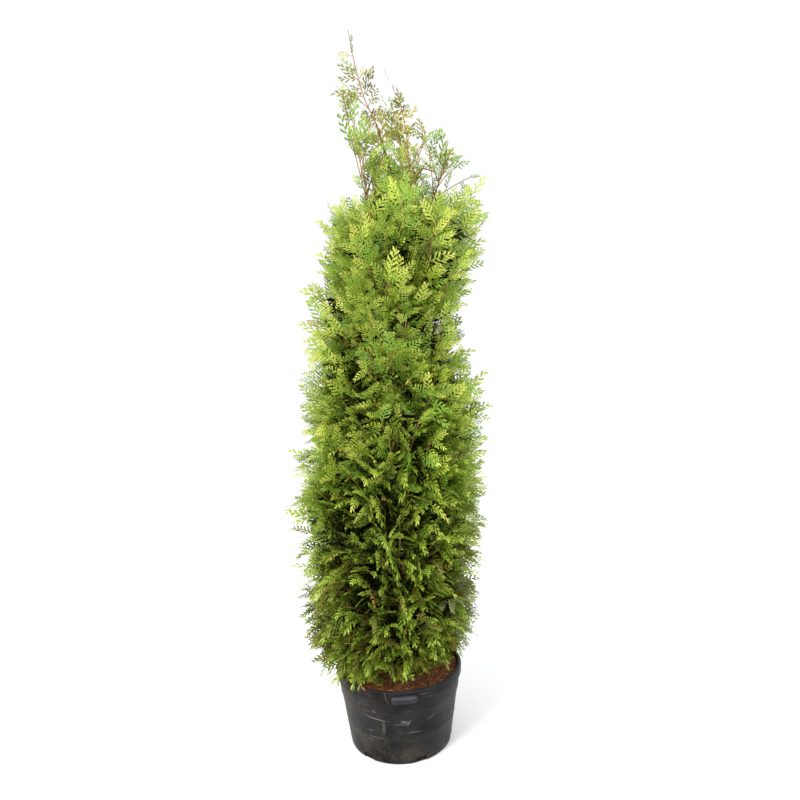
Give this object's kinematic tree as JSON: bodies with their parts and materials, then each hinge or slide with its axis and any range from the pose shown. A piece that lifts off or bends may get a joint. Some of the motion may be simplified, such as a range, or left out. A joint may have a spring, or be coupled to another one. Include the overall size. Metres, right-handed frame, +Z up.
{
  "type": "potted thuja",
  "caption": "Young upright thuja with flat fern-like foliage on a leaning leader, growing in a black nursery pot with moulded grips under its rim.",
  "frame": {"origin": "centre of the pot's flat underside", "axes": "+Z up through the pot towards the leader, -Y towards the front, where one grip is, +X to the right seen from the front"},
  "size_m": [0.6917, 0.6589, 2.4122],
  "materials": {
    "pot": "satin, scuffed and dusty",
    "soil": "fibrous rusty litter over bark compost",
    "bark": "stringy reddish-brown bark",
    "foliage": "matte scale leaves, mid green",
    "fresh_foliage": "matte scale leaves, yellow-green"
  },
  "bodies": {
    "root": {"pot": "pot", "root_ball": "soil", "trunk": "bark", "bough_skirt_1": "bark", "bough_skirt_2": "bark", "bough_skirt_3": "bark", "bough_skirt_4": "bark", "bough_lower_1": "bark", "bough_lower_2": "bark", "bough_lower_3": "bark", "bough_lower_4": "bark", "bough_lower_5": "bark", "bough_middle_1": "bark", "bough_middle_2": "bark", "bough_middle_3": "bark", "bough_middle_4": "bark", "bough_middle_5": "bark", "bough_shoulder_1": "bark", "bough_shoulder_2": "bark", "bough_shoulder_3": "bark", "bough_shoulder_4": "bark", "bough_upper_1": "bark", "bough_upper_2": "bark", "bough_upper_3": "bark", "bough_upper_4": "bark", "bough_shoot_1": "bark", "bough_shoot_2": "bark", "bough_shoot_3": "bark", "bough_shoot_4": "bark", "bough_shoot_5": "bark", "foliage_skirt_1": "foliage", "foliage_skirt_2": "foliage", "foliage_skirt_3": "foliage", "foliage_skirt_4": "foliage", "foliage_lower_1": "foliage", "foliage_lower_2": "foliage", "foliage_lower_3": "foliage", "foliage_lower_4": "foliage", "foliage_lower_5": "foliage", "foliage_middle_1": "foliage", "foliage_middle_2": "foliage", "foliage_middle_3": "foliage", "foliage_middle_4": "foliage", "foliage_middle_5": "foliage", "foliage_shoulder_1": "foliage", "foliage_shoulder_2": "foliage", "foliage_shoulder_3": "foliage", "foliage_shoulder_4": "foliage", "foliage_upper_1": "foliage", "foliage_upper_2": "foliage", "foliage_upper_3": "foliage", "foliage_upper_4": "foliage", "foliage_shoot_1": "fresh_foliage", "foliage_shoot_2": "fresh_foliage", "foliage_shoot_3": "fresh_foliage", "foliage_shoot_4": "fresh_foliage", "foliage_shoot_5": "fresh_foliage", "foliage_leader": "fresh_foliage"}
  },
  "joints": []
}
